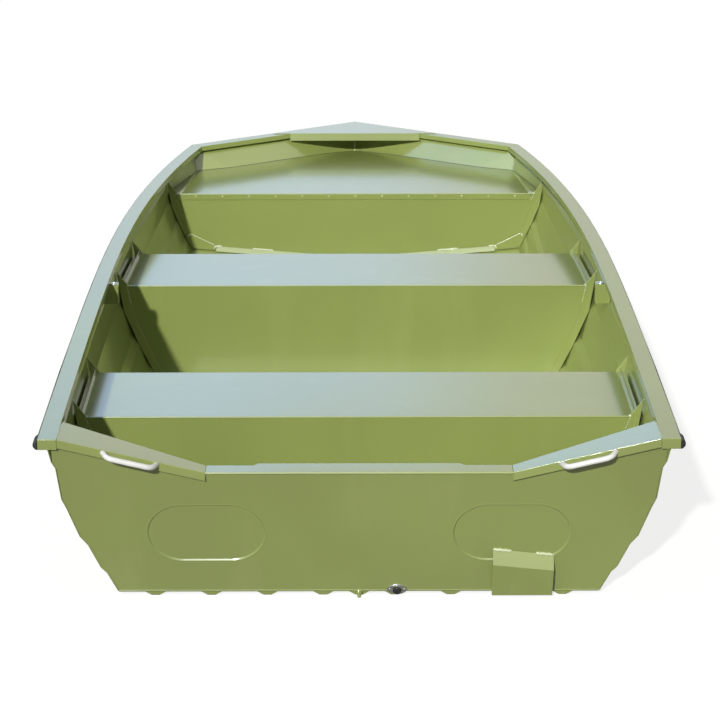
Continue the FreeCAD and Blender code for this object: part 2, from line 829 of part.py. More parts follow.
# A stiffening strip leans on the foot of the bow bench's panel, following the bottom's slight vee.
footX, footZ = chine_point(bowBench)
footKeel = keel_height(bowBench) + sheetT + 2 * gap
footSlope = (footZ - keel_height(bowBench)) / footX
footHalf = footX - size("FootInset")
stripStation = bowBench - gap - size("FootReach")
footCorners = [vec(0, stripStation, footKeel), vec(footHalf, stripStation, footKeel + footSlope * footHalf)]
footCorners += [corner + vec(0, size("FootReach"), size("FootStrip")) for corner in reversed(footCorners)]
footSide = plate_solid(footCorners, vec(0, -plateT, 0))
feature("bow_floor_strip", footSide.fuse(mirrored(footSide)).removeSplitter())

# Rounded gussets between the bow bench's frames and its foot strip.
gussetFoot = footHalf + gap
gussetLow = footKeel + footSlope * gussetFoot + 2
gussetLong = size("GussetLength")
gussetTall = size("GussetRise")
# The outline, from its foot up its back and round its tip, as shares of its length and of its rise.
gussetLeaf = [(0, 0), (0, 0.21), (0.05, 0.33), (0.81, 1), (0.88, 0.97), (0.9, 0.76), (0.83, 0.3), (0.69, 0.12)]
gussetShape = [(gussetFoot + reach * gussetLong, gussetLow + rise * gussetTall) for reach, rise in gussetLeaf]
gussetStation = bowBench - 2 * gap - plateT
gusset = plate_solid([vec(x, gussetStation, z) for x, z in gussetShape], vec(0, -plateT, 0))
both_sides("bow_gusset", gusset)

# Bow deck plate on top of the bow rails, its rear edge folded down between them.
deckRear = hullLength - size("DeckSetback")


def across_bow(station, offset):
    """Half width of a line parallel to the bow rail, offset outboard of its guide line."""
    return (bowNormal[1] * (hullLength - station) + offset) / bowNormal[0]


deckEdge = 4          # how far the plate laps outboard of the bow rail's guide line
deckTip = hullLength + deckEdge / bowNormal[1]
deckTop = rail_top(cornerStation) + gap
deckHalf = across_bow(deckRear, deckEdge)
deck = plate_solid([vec(-deckHalf, deckRear, deckTop), vec(deckHalf, deckRear, deckTop), vec(0, deckTip, deckTop)],
                   vec(0, 0, sheetT))
flangeTop = across_bow(deckRear + sheetT, -inboard - 1)
flangeLow = deckTop + sheetT - size("DeckFlange")
flangeFoot = min(flangeTop, panel_reach(deckRear + sheetT, flangeLow - panelClear))
flangeBend = deckTop - 0.4 * size("DeckFlange")
flangeHalf = [(flangeFoot, flangeLow), (flangeTop, flangeBend), (flangeTop, deckTop + sheetT)]
deckFlange = plate_solid([vec(x, deckRear, z) for x, z in mirror_outline(flangeHalf)], vec(0, sheetT, 0))
feature("bow_deck_plate", deck.fuse(deckFlange).removeSplitter())


# Fittings -----------------------------------------------------------------------------------

def on_transom(x, level, standoff):
    """A point at a height up the transom's slope, standing off its aft face."""
    return vec(x, float(footStation), ribDepth) - downSlope * level + aftNormal * standoff


bracketLeft = size("BracketCentre") - size("BracketWidth") / 2
bracketRight = bracketLeft + size("BracketWidth")
weldLevel = size("BracketHeight") + size("BracketSlope")
weldDepth = gap - size("OvalDepth")
slant = size("BracketSlant")
weldEdge = [on_transom(bracketLeft, weldLevel, weldDepth), on_transom(bracketRight, weldLevel - slant, weldDepth)]
foldEdge = [on_transom(bracketLeft, size("BracketHeight"), size("BracketDepth")),
            on_transom(bracketRight, size("BracketHeight") - slant, size("BracketDepth"))]
lowEdge = [on_transom(bracketLeft, 2, size("BracketDepth")), on_transom(bracketRight, 2, size("BracketDepth"))]
slopePlate = plate_solid(weldEdge + foldEdge[::-1], downSlope * plateT)
facePlate = plate_solid(foldEdge + lowEdge[::-1], aftNormal * -plateT)
feature("transducer_bracket", slopePlate.fuse(facePlate).removeSplitter())

drain = raked_body("drain_flange", -gap, dim("DrainOffset"))
drainHalf = dim("DrainHalf")
drainRise = dim("DrainRise")
drainLevel = dim("DrainLevel")
drainTip = drainHalf * 0.3
diamond = [(-drainHalf, drainLevel), (-drainTip, drainLevel - drainRise), (drainTip, drainLevel - drainRise),
           (drainHalf, drainLevel), (drainTip, drainLevel + drainRise), (-drainTip, drainLevel + drainRise)]
add_pad(drain, "XZ_Plane", diamond, dim("PlateThickness"), "Flange")

plug = doc.addObject("Part::Cylinder", "drain_plug")
plug.Label = "drain_plug"
plug.setExpression("Radius", "Sizes.DrainPlug / 2")
plug.setExpression("Height", "Sizes.PlateThickness * 2")
plugSpot = vec(size("DrainOffset"), float(sternY + footStation), ribDepth)
plugSpot = plugSpot - downSlope * size("DrainLevel") + aftNormal * (plateT + 2 * gap)
plug.Placement = FreeCAD.Placement(plugSpot, FreeCAD.Rotation(vec(0, 0, 1), aftNormal))
subParts.append(plug)

bolt = doc.addObject("Part::Cylinder", "keel_end_bolt")
bolt.Label = "keel_end_bolt"
bolt.setExpression("Radius", "Sizes.RibDepth * 0.4")
bolt.setExpression("Height", "Sizes.BoltReach")
boltSpot = vec(0, float(sternY + footStation) - gap, ribDepth * 0.45)
bolt.Placement = FreeCAD.Placement(boltSpot, FreeCAD.Rotation(vec(0, 0, 1), vec(0, -1, 0)))
subParts.append(bolt)

# Oarlock sockets stand inboard of the rail, on the side sheet.
socketStation = size("MiddleBenchStation") - size("SocketSetback")
socketTop = rail_top(socketStation) - size("RailLip") - 2
socketOuter = inner_half(socketStation, socketTop - size("SocketLength")) + 3 * gap
socketAxis = rail_line(socketStation) - inboard - size("SocketBore") / 2 - 4
socketInner = socketAxis - size("SocketWidth") / 2
socket = Part.makeBox(socketOuter - socketInner, size("SocketWidth"), size("SocketLength"),
                      vec(socketInner, socketStation - size("SocketWidth") / 2, socketTop - size("SocketLength")))
socketHole = Part.makeCylinder(size("SocketBore") / 2, size("SocketLength"),
                               vec(socketAxis, socketStation, socketTop - size("SocketLength")))
both_sides("oarlock_socket", socket.cut(socketHole))

# A towing eye on the stem.
eyeStation = hullLength - size("EyeSetback")
eyeSlope = (keel_height(eyeStation + 5) - keel_height(eyeStation - 5)) / 10
stemWay = vec(0, 1, eyeSlope).normalize()
stemOut = vec(0, stemWay.z, -stemWay.y)
eyeMiddle = vec(0, eyeStation, keel_height(eyeStation)) + stemOut * gap
eyeLow = eyeMiddle - stemWay * (size("EyeSpan") / 2)
eyeHigh = eyeMiddle + stemWay * (size("EyeSpan") / 2)
eyeReach = stemOut * size("EyeReach")
eyeRoute = [eyeLow, eyeLow + eyeReach, eyeHigh + eyeReach, eyeHigh]
feature("bow_eye", tube(eyeRoute, size("EyeRod") / 2, 0.4 * size("EyeSpan")))


# Check and write ------------------------------------------------------------------------------

doc.recompute()
for item in doc.Objects:
    if "Invalid" in item.State or "Error" in item.State:
        raise RuntimeError("%s did not recompute: %s" % (item.Name, item.State))
os.makedirs("parts", exist_ok=True)
unsound = [item.Label for item in subParts
           if item.Shape.isNull() or not item.Shape.isValid() or item.Shape.Volume <= 0]
if unsound:
    raise RuntimeError("no valid solid in " + ", ".join(unsound))
for item in subParts:
    item.Shape.exportStep(os.path.join("parts", item.Label + ".step"))
    print("%-28s %9.1f cm3" % (item.Label, item.Shape.Volume / 1000))
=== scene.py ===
import json
import math
import random

import bmesh
import bpy
from mathutils.bvhtree import BVHTree
from mathutils import Matrix, Vector


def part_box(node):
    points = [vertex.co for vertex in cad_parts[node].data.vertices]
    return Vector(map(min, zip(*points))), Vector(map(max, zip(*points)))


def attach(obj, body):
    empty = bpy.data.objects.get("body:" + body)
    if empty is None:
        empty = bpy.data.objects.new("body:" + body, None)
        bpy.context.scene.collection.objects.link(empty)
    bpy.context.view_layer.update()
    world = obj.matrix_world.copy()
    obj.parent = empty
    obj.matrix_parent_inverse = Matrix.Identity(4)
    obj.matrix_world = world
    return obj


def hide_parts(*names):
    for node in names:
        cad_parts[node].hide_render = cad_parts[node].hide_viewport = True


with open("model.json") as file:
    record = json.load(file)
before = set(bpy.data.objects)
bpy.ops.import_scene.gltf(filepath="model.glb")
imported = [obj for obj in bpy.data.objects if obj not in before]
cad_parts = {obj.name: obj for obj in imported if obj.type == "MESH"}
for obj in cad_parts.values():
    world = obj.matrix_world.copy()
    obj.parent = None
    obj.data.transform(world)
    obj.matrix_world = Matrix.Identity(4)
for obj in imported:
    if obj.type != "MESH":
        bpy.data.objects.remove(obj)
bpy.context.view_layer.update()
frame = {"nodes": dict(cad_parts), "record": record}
scene = bpy.context.scene
up = Vector((0, 0, 1))


# ---- shader helpers

class Wire:
    # one node output; sums written with it add Math nodes
    def __init__(self, tree, socket=None):
        self.tree = tree
        self.socket = socket

    # adds any node: settings first, then values or links for its sockets
    def add(self, kind, settings=None, sockets=None, out=0):
        node = self.tree.nodes.new("ShaderNode" + kind)
        for name, value in (settings or {}).items():
            if name == "stops":
                stops = node.color_ramp.elements
                stops[0].position, stops[0].color = value[0]
                stops[1].position, stops[1].color = value[-1]
                for place, tone in value[1:-1]:
                    stops.new(place).color = tone
            else:
                setattr(node, name, value)
        for name, value in (sockets or {}).items():
            if isinstance(value, Wire):
                self.tree.links.new(value.socket, node.inputs[name])
            else:
                node.inputs[name].default_value = value
        return Wire(self.tree, node.outputs[out] if len(node.outputs) else None)

    def maths(self, operation, first, second=0.0, third=0.0):
        return self.add("Math", {"operation": operation}, {0: first, 1: second, 2: third})

    def __add__(self, other):
        return self.maths("ADD", self, other)

    def __radd__(self, other):
        return self.maths("ADD", other, self)

    def __sub__(self, other):
        return self.maths("SUBTRACT", self, other)

    def __rsub__(self, other):
        return self.maths("SUBTRACT", other, self)

    def __mul__(self, other):
        return self.maths("MULTIPLY", self, other)

    def __rmul__(self, other):
        return self.maths("MULTIPLY", other, self)

    def band(self, low, high):
        # 0 below low, 1 above high, smooth between
        return self.add("MapRange", {"interpolation_type": "SMOOTHSTEP"},
                        {"Value": self, "From Min": low, "From Max": high})

    def blend(self, first, second):
        # mixes two colours by this value
        return self.add("Mix", {"data_type": "RGBA"}, {0: self, 6: first, 7: second}, 2)


def srgb(red, green, blue):
    def toLinear(level):
        level = level / 255
        return level / 12.92 if level <= 0.04045 else ((level + 0.055) / 1.055) ** 2.4
    return (toLinear(red), toLinear(green), toLinear(blue), 1)


def scaled(colour, factor):
    return tuple(min(1, channel * factor) for channel in colour[:3]) + (1,)


def newMaterial(name):
    material = bpy.data.materials.new(name)
    material.use_nodes = True
    material.node_tree.nodes.clear()
    return material, Wire(material.node_tree)


def finishMaterial(start, shader):
    start.add("OutputMaterial", None, {"Surface": shader})


def noiseAt(start, place, scale, detail=3, roughness=0.5):
    return start.add("TexNoise", None, {"Vector": place, "Scale": scale, "Detail": detail, "Roughness": roughness})


def stretched(start, place, x, y, z):
    return start.add("VectorMath", {"operation": "MULTIPLY"}, {0: place, 1: (x, y, z)})


# ---- finishes

hullPaint = {
    "tone": srgb(146, 159, 87),        # satin olive green
    "toneSpread": 0.07,                # how far broad patches drift from the tone
    "dusty": srgb(168, 178, 116),
    "worn": srgb(176, 182, 158),
    "roughness": 0.42,
    "coat": 1.0,
    "coatRoughness": 0.15,
    "coatIor": 1.9,
    "peel": 0.00004,                   # height of the paint's orange peel, m
    "ripple": 0.0003,                  # height of the sheet's slow waves, m
}


def makePaint(name, look):
    material, start = newMaterial(name)
    place = start.add("TexCoord", None, None, 3)
    broad = noiseAt(start, place, 1.7, 2)
    streaky = noiseAt(start, stretched(start, place, 9, 9, 1.2), 1.0, 4)
    fine = noiseAt(start, place, 60, 4, 0.6)
    light = scaled(look["tone"], 1 + look["toneSpread"])
    dark = scaled(look["tone"], 1 - look["toneSpread"])
    base = broad.band(0.3, 0.7).blend(dark, light)
    dust = streaky.band(0.52, 0.8) * 0.22
    base = dust.blend(base, look["dusty"])
    # small chips and scuffs, sparse and pale
    scuffLines = noiseAt(start, stretched(start, place, 6, 90, 60), 1.0, 5, 0.7)
    scuff = scuffLines.band(0.72, 0.78) * fine.band(0.5, 0.62)
    base = (scuff * 0.5).blend(base, look["worn"])
    roughness = look["roughness"] + (broad - 0.5) * 0.12 + (fine - 0.5) * 0.08 + scuff * 0.2
    peel = noiseAt(start, place, 420, 2)
    ripple = noiseAt(start, place, 3.2, 1, 0.3)
    height = peel * look["peel"] + ripple * look["ripple"] + scuff * -0.00003
    bump = start.add("Bump", None, {"Strength": 1.0, "Distance": 1.0, "Height": height})
    shader = start.add("BsdfPrincipled", None, {
        "Base Color": base, "Roughness": roughness, "Normal": bump, "Coat Weight": look["coat"],
        "Coat Roughness": look["coatRoughness"], "Coat IOR": look["coatIor"]})
    finishMaterial(start, shader)
    return material


rubber = {
    "tone": srgb(38, 38, 40),
    "dusty": srgb(82, 82, 80),
    "roughness": 0.5,
}


def makeRubber(name, look):
    material, start = newMaterial(name)
    place = start.add("TexCoord", None, None, 3)
    broad = noiseAt(start, place, 14, 4)
    grain = noiseAt(start, place, 900, 3)
    dust = broad.band(0.45, 0.8) * 0.45
    base = dust.blend(look["tone"], look["dusty"])
    roughness = look["roughness"] + dust * 0.3 + (grain - 0.5) * 0.15
    bump = start.add("Bump", None, {"Strength": 0.6, "Distance": 0.0004, "Height": grain + broad})
    finishMaterial(start, start.add("BsdfPrincipled", None, {
        "Base Color": base, "Roughness": roughness, "Normal": bump}))
    return material


handleCoat = {
    "tone": srgb(240, 240, 238),
    "grimy": srgb(196, 198, 190),
    "roughness": 0.3,
}


def makeHandleCoat(name, look):
    material, start = newMaterial(name)
    place = start.add("TexCoord", None, None, 3)
    broad = noiseAt(start, place, 22, 4)
    grain = noiseAt(start, place, 700, 2)
    grime = broad.band(0.5, 0.85) * 0.55
    base = grime.blend(look["tone"], look["grimy"])
    roughness = look["roughness"] + grime * 0.25 + (grain - 0.5) * 0.06
    bump = start.add("Bump", None, {"Strength": 0.25, "Distance": 0.0003, "Height": grain})
    finishMaterial(start, start.add("BsdfPrincipled", None, {
        "Base Color": base, "Roughness": roughness, "Normal": bump, "Coat Weight": 0.4, "Coat Roughness": 0.1}))
    return material


brightMetal = {
    "tone": srgb(214, 214, 208),
    "dull": srgb(150, 150, 142),
    "roughness": 0.22,
}


def makeBrightMetal(name, look):
    material, start = newMaterial(name)
    place = start.add("TexCoord", None, None, 3)
    broad = noiseAt(start, place, 45, 5, 0.65)
    fine = noiseAt(start, stretched(start, place, 1500, 240, 240), 1.0, 3)
    tarnish = broad.band(0.42, 0.75)
    base = (tarnish * 0.8).blend(look["tone"], look["dull"])
    roughness = look["roughness"] + tarnish * 0.25 + (fine - 0.5) * 0.12
    bump = start.add("Bump", None, {"Strength": 0.35, "Distance": 0.0002, "Height": fine + broad * 0.5})
    finishMaterial(start, start.add("BsdfPrincipled", None, {
        "Base Color": base, "Metallic": 1.0, "Roughness": roughness, "Normal": bump}))
    return material


paint = makePaint("hull_paint", hullPaint)
railPaint = makePaint("rail_paint", {**hullPaint, "coat": 0.85, "coatIor": 1.78, "ripple": 0.0001})
# painted highlight: the welds' tone is paler than the hull paint, standing for the sun caught on their rippled beads
weldHighlightPaint = makePaint("weld_paint_painted_highlight", {**hullPaint, "tone": srgb(204, 212, 170), "roughness": 0.3, "ripple": 0.0})
# painted highlight: the rivet heads' tone is paler than the hull paint, standing for the glints on their domes
rivetHighlightPaint = makePaint("rivet_paint_painted_highlight", {**hullPaint, "tone": srgb(176, 188, 124), "roughness": 0.32, "ripple": 0.0})
# painted shadow: a dark tone for beads standing for the shade lines at the seams
seamShadowPaint = makePaint("seam_painted_shadow", {**hullPaint, "tone": srgb(72, 82, 48), "dusty": srgb(96, 104, 70), "coat": 0.2})
blackRubber = makeRubber("black_rubber", rubber)
whiteCoat = makeHandleCoat("handle_coat", handleCoat)
metal = makeBrightMetal("bright_metal", brightMetal)
print("finishes ready")


# ---- mesh helpers

def addPiece(name, mesh, material, smooth=True):
    piece = bpy.data.objects.new(name, mesh)
    scene.collection.objects.link(piece)
    mesh.materials.clear()
    mesh.materials.append(material)
    for face in mesh.polygons:
        face.use_smooth = smooth
    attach(piece, "root")
    return piece


def softenEdges(piece, width, foldAngle=28, segments=2):
    bevel = piece.modifiers.new("folds", "BEVEL")
    bevel.width = width
    bevel.segments = segments
    bevel.limit_method = "ANGLE"
    bevel.angle_limit = math.radians(foldAngle)
    bevel.use_clamp_overlap = True
    weighted = piece.modifiers.new("flat_faces", "WEIGHTED_NORMAL")
    weighted.mode = "FACE_AREA"
    weighted.weight = 50


def dropJointWalls(work, node):
    # a rail is made in runs, which leaves walls across it where two runs meet
    low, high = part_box(node)
    endReach = 0.1
    walls = []
    for face in work.faces:
        place = face.calc_center_median().y
        if abs(face.normal.y) > 0.9 and low.y + endReach < place < high.y - endReach:
            walls.append(face)
    bmesh.ops.delete(work, geom=walls, context="FACES")


def mergedMesh(node, seam):
    mesh = frame["nodes"][node].data.copy()
    work = bmesh.new()
    work.from_mesh(mesh)
    bmesh.ops.remove_doubles(work, verts=work.verts, dist=seam)
    # walls left inside a closed joint
    inner = [face for face in work.faces if all(len(edge.link_faces) > 2 for edge in face.edges)]
    if inner:
        bmesh.ops.delete(work, geom=inner, context="FACES")
    if node.startswith("gunwale"):
        dropJointWalls(work, node)
    bmesh.ops.dissolve_limit(work, angle_limit=math.radians(0.3), verts=work.verts, edges=work.edges)
    work.to_mesh(mesh)
    work.free()
    return mesh


def refine(node, width, material=paint, foldAngle=28, segments=2, seam=0.00002):
    piece = addPiece(node + "_finished", mergedMesh(node, seam), material)
    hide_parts(node)
    softenEdges(piece, width, foldAngle, segments)
    return piece


# ---- hull and fittings carried over from the frame, with their folds rounded

sheetFolds = {
    "sideStep": 0.009,        # radius of the pressed steps in the side sheets
    "panelEdge": 0.001,
    "ribFold": 0.004,
    "railFold": 0.0022,
    "seatFold": 0.002,
    "plateFold": 0.0016,
}

for side in ("starboard", "port"):
    refine("side_sheet_" + side, sheetFolds["sideStep"], foldAngle=11, segments=3)
    refine("bow_panel_" + side, sheetFolds["panelEdge"])
    refine("gunwale_" + side, sheetFolds["railFold"], railPaint, segments=3, seam=0.0004)
    refine("bow_rail_" + side, sheetFolds["railFold"], railPaint, segments=3)
    refine("rub_strip_" + side, 0.002, blackRubber, 20, 3)
    refine("strip_end_" + side, 0.003, blackRubber, 20, 3)
    refine("bow_gusset_" + side, sheetFolds["plateFold"])
    refine("rail_end_" + side, sheetFolds["plateFold"])
    refine("corner_plate_" + side, sheetFolds["plateFold"])
    refine("stern_handle_" + side, 0.001, whiteCoat)
    refine("oarlock_socket_" + side, 0.0022)
refine("bottom_ribs", sheetFolds["ribFold"], segments=3)
for node in ("bottom_sheet", "bow_floor_strip"):
    refine(node, sheetFolds["panelEdge"])
for bench in ("aft_bench", "middle_bench"):
    refine(bench + "_seat", sheetFolds["seatFold"])
    refine(bench + "_front_panel", sheetFolds["panelEdge"])
for bench in ("aft_bench", "middle_bench", "bow_bench"):
    refine(bench + "_frames", sheetFolds["plateFold"])
    refine(bench + "_rear_panel", sheetFolds["panelEdge"])
refine("bow_bench_seat", sheetFolds["seatFold"])
refine("bow_deck_plate", sheetFolds["seatFold"])
transomPlate = refine("transom_plate", 0.0006)
refine("transom_core", 0.0015)
refine("motor_pad", 0.0025)
refine("transom_cap", 0.0012)
refine("transducer_bracket", 0.0018)
refine("drain_plug", 0.003, blackRubber, segments=4)
refine("keel_end_bolt", 0.001)
refine("bow_eye", 0.0005, metal)
print("hull pieces ready")


# ---- added details

def lathe(work, profile, foot, way, segments=20):
    # spins (radius, height) points about an axis
    way = way.normalized()
    side = way.orthogonal().normalized()
    other = way.cross(side)
    rings = []
    for radius, height in profile:
        turn = [2 * math.pi * step / segments for step in range(segments)]
        rings.append([work.verts.new(foot + way * height + (side * math.cos(a) + other * math.sin(a)) * radius)
                      for a in turn])
    for low, high in zip(rings, rings[1:]):
        for step in range(segments):
            after = (step + 1) % segments
            work.faces.new((low[step], low[after], high[after], high[step]))
    return rings


def closeRing(work, ring):
    work.faces.new(ring)


def dome(work, centre, way, radius, height, segments=12, steps=5):
    profile = [(radius * math.cos(step / steps * math.pi / 2), height * math.sin(step / steps * math.pi / 2))
               for step in range(steps)]
    rings = lathe(work, profile, centre, way, segments)
    closeRing(work, rings[-1])


def pieceFrom(work, name, material):
    bmesh.ops.recalc_face_normals(work, faces=work.faces)
    mesh = bpy.data.meshes.new(name)
    work.to_mesh(mesh)
    work.free()
    return addPiece(name, mesh, material)


def cornersOf(node, keep):
    # the frame's own corner points of a node, as a sorted list without repeats
    spots = {tuple(round(value, 5) for value in vertex.co) for vertex in frame["nodes"][node].data.vertices}
    return [Vector(spot) for spot in sorted(spots) if keep(Vector(spot))]


weldLook = {
    "width": 0.0075,
    "height": 0.0026,
    "pitch": 0.0034,          # spacing of the ripples
    "wander": 0.0006,
}


def bead(work, route, normal, look=weldLook, size=1.0):
    # a rippled half-round weld along a route of points
    normal = normal.normalized()
    legs = [(after - before).length for before, after in zip(route, route[1:])]
    length = sum(legs)
    steps = max(8, int(length / look["pitch"] * 3))
    sides = 7
    before = None
    for step in range(steps + 1):
        reach = length * step / steps
        leg = 0
        left = reach
        while leg < len(legs) - 1 and left > legs[leg]:
            left -= legs[leg]
            leg += 1
        along = (route[leg + 1] - route[leg]).normalized()
        centre = route[leg] + along * left
        across = normal.cross(along).normalized()
        phase = (reach / look["pitch"]) % 1
        swell = 0.72 + 0.28 * math.sin(phase * math.pi)
        taper = math.sqrt(max(0.02, min(1, reach / 0.006, (length - reach) / 0.006)))
        centre = centre + across * (look["wander"] * math.sin(reach * 410))
        ring = []
        for side in range(sides + 1):
            angle = math.pi * side / sides
            spread = across * (math.cos(angle) * look["width"] / 2 * swell * taper * size)
            lift = normal * (math.sin(angle) * look["height"] * swell * taper * size)
            ring.append(work.verts.new(centre + spread + lift))
        if before:
            for side in range(sides):
                work.faces.new((before[side], before[side + 1], ring[side + 1], ring[side]))
        before = ring


def nose(work, start, end, outward, over, radius, turn=90, steps=6):
    # a rounded fold along an edge: from the flat above, out and down round a quarter turn
    first = None
    for step in range(steps + 1):
        angle = math.radians(turn) * step / steps
        shift = outward * (math.sin(angle) * over) + up * ((math.cos(angle) - 1) * radius)
        pair = [work.verts.new(start + shift), work.verts.new(end + shift)]
        if first:
            work.faces.new((first[0], first[1], pair[1], pair[0]))
        first = pair


transomFacts = {
    "rake": 15.7,
    "ovalLength": 0.304,
    "ovalHeight": 0.184,
    "ovalCentre": 0.394,
    "ovalLevel": 0.196,
    "ovalDepth": 0.0044,
    "ovalSunk": 0.0022,       # depth of the recess in the frame's plate
    "ovalBlend": 0.0058,      # how far in the pressed wall runs
    "ribDepth": 0.013,
}
rake = math.radians(transomFacts["rake"])
plateLow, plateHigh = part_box("transom_plate")
aft = Vector((0, -math.cos(rake), -math.sin(rake)))
upSlope = Vector((0, -math.sin(rake), math.cos(rake)))
footY = plateLow.y + (plateHigh.z - transomFacts["ribDepth"]) * math.tan(rake)


def onTransom(x, level, standoff=0.0):
    return Vector((x, footY, transomFacts["ribDepth"])) + upSlope * level + aft * standoff


def openOvals(piece, facts):
    # takes the sunk floors and their walls off the plate, where the pressed pans go
    work = bmesh.new()
    work.from_mesh(piece.data)
    doomed = []
    for face in work.faces:
        centre = face.calc_center_median()
        sunk = -(centre - onTransom(0, 0)).dot(aft)
        level = (centre - onTransom(0, 0)).dot(upSlope)
        nearOval = abs(abs(centre.x) - facts["ovalCentre"]) < facts["ovalLength"] / 2 + 0.001
        if nearOval and abs(level - facts["ovalLevel"]) < facts["ovalHeight"] / 2 + 0.001:
            if 0.0003 < sunk < facts["ovalSunk"] + 0.0003:
                doomed.append(face)
    bmesh.ops.delete(work, geom=doomed, context="FACES")
    work.to_mesh(piece.data)
    work.free()


def pressedOval(name, centre, facts):
    # a pan pressed into the plate: flat rim, soft wall, sunk floor
    work = bmesh.new()
    radius = facts["ovalHeight"] / 2
    reach = facts["ovalLength"] / 2 - radius
    rim = 0.0045
    lift = 0.0006
    steps = 18
    around = 128
    rings = []
    for step in range(steps + 1):
        inset = (rim + facts["ovalBlend"]) * step / steps - rim
        sink = max(0, min(1, inset / facts["ovalBlend"]))
        soft = 0.75 * sink + 0.25 * sink ** 2 * (3 - 2 * sink)
        rise = lift * min(1, step / 6) ** 0.6
        height = rise - (facts["ovalDepth"] + lift) * soft
        ring = []
        for part in range(around):
            angle = 2 * math.pi * (part + 0.5) / around
            shift = reach if math.cos(angle) >= 0 else -reach
            x = centre + shift + (radius - inset) * math.cos(angle)
            level = facts["ovalLevel"] + (radius - inset) * math.sin(angle)
            ring.append(work.verts.new(onTransom(x, level, height)))
        rings.append(ring)
    for outer, inner in zip(rings, rings[1:]):
        for part in range(around):
            after = (part + 1) % around
            work.faces.new((outer[part], outer[after], inner[after], inner[part]))
    closeRing(work, rings[-1])
    return pieceFrom(work, name, paint)


pressedOval("pressed_oval_port", -transomFacts["ovalCentre"], transomFacts)
pressedOval("pressed_oval_starboard", transomFacts["ovalCentre"], transomFacts)
openOvals(transomPlate, transomFacts)


drainFacts = {
    "centre": 0.0995,
    "level": 0.006,
    "half": 0.027,
    "rise": 0.017,
    "plateHeight": 0.003,
    "hole": 0.0115,
    "screwReach": 0.0195,
}


def makeDrain(facts):
    work = bmesh.new()
    around = 48
    outline = []
    for part in range(around):
        angle = 2 * math.pi * part / around
        x = facts["half"] * math.cos(angle)
        rise = facts["rise"] * math.copysign(abs(math.sin(angle)) ** 1.35, math.sin(angle))
        outline.append((x, rise))
    hole = [(facts["hole"] * math.cos(2 * math.pi * part / around), facts["hole"] * math.sin(2 * math.pi * part / around))
            for part in range(around)]
    rings = []
    thick = facts["plateHeight"]
    for shape, scale, height in ((outline, 1.0, 0.0003), (outline, 1.0, thick * 0.6), (outline, 0.95, thick),
                                 (outline, 0.86, thick * 0.93), (hole, 1.2, thick * 0.93), (hole, 1.12, thick * 1.5),
                                 (hole, 1.0, thick * 1.5), (hole, 0.96, 0.0003)):
        rings.append([work.verts.new(onTransom(facts["centre"] + x * scale, facts["level"] + rise * scale, height))
                      for x, rise in shape])
    for outer, inner in zip(rings, rings[1:]):
        for part in range(around):
            after = (part + 1) % around
            work.faces.new((outer[part], outer[after], inner[after], inner[part]))
    for way in (-1, 1):
        dome(work, onTransom(facts["centre"] + way * facts["screwReach"], facts["level"], thick * 0.9), aft, 0.0042, 0.0022)
    piece = pieceFrom(work, "drain_plate", metal)
    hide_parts("drain_flange")


makeDrain(drainFacts)


keelNut = {
    "washerRadius": 0.0085,
    "nutRadius": 0.007,
    "thickness": 0.009,
}


def makeKeelNut(facts):
    # a washer and a nut on the keel's end, standing just clear of the floor
    low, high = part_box("keel_end_bolt")
    wide, narrow, thick = facts["washerRadius"], facts["nutRadius"], facts["thickness"]
    foot = Vector(((low.x + high.x) / 2, high.y, wide))
    back = Vector((0, -1, 0))
    work = bmesh.new()
    washer = [(wide, thick * 0.11), (wide, thick * 0.28), (wide * 0.9, thick * 0.33), (wide * 0.57, thick * 0.33)]
    nut = [(narrow * 0.9, thick * 0.33), (narrow, thick * 0.47), (narrow, thick * 0.87), (narrow * 0.9, thick),
           (narrow * 0.58, thick)]
    for profile, segments in ((washer, 24), (nut, 6)):
        rings = lathe(work, profile, foot, back, segments)
        closeRing(work, rings[0])
    pieceFrom(work, "keel_nut", paint)


makeKeelNut(keelNut)


def makeSocketRings():
    for side in ("starboard", "port"):
        low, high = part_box("oarlock_socket_" + side)
        bore = [mount for mount in frame["record"]["mounts"] if mount["name"] == "oarlock_" + side][0]["pos_m"]
        work = bmesh.new()
        top = high.z
        lathe(work, [(0.0122, 0.0001), (0.0122, 0.0018), (0.0112, 0.0027), (0.0082, 0.0027), (0.0068, 0.0018),
                     (0.0066, -0.012)], Vector((bore[0], bore[1], top)), up, 32)
        pieceFrom(work, "socket_ring_" + side, metal)


makeSocketRings()


rivetFacts = {
    "spacing": 0.0985,
    "each side": 6,
    "radius": 0.0042,
    "height": 0.0018,
    "drop": 0.011,            # below the seat's top
}


def makeRivets(facts):
    low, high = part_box("bow_bench_seat")
    work = bmesh.new()
    for number in range(-facts["each side"], facts["each side"] + 1):
        spot = Vector((number * facts["spacing"], low.y, high.z - facts["drop"]))
        dome(work, spot, Vector((0, -1, 0)), facts["radius"], facts["height"])
    pieceFrom(work, "bow_seat_rivets", rivetHighlightPaint)


makeRivets(rivetFacts)


noseFacts = {
    "over": 0.0022,
    "radius": 0.0042,
    "lift": 0.0003,
}


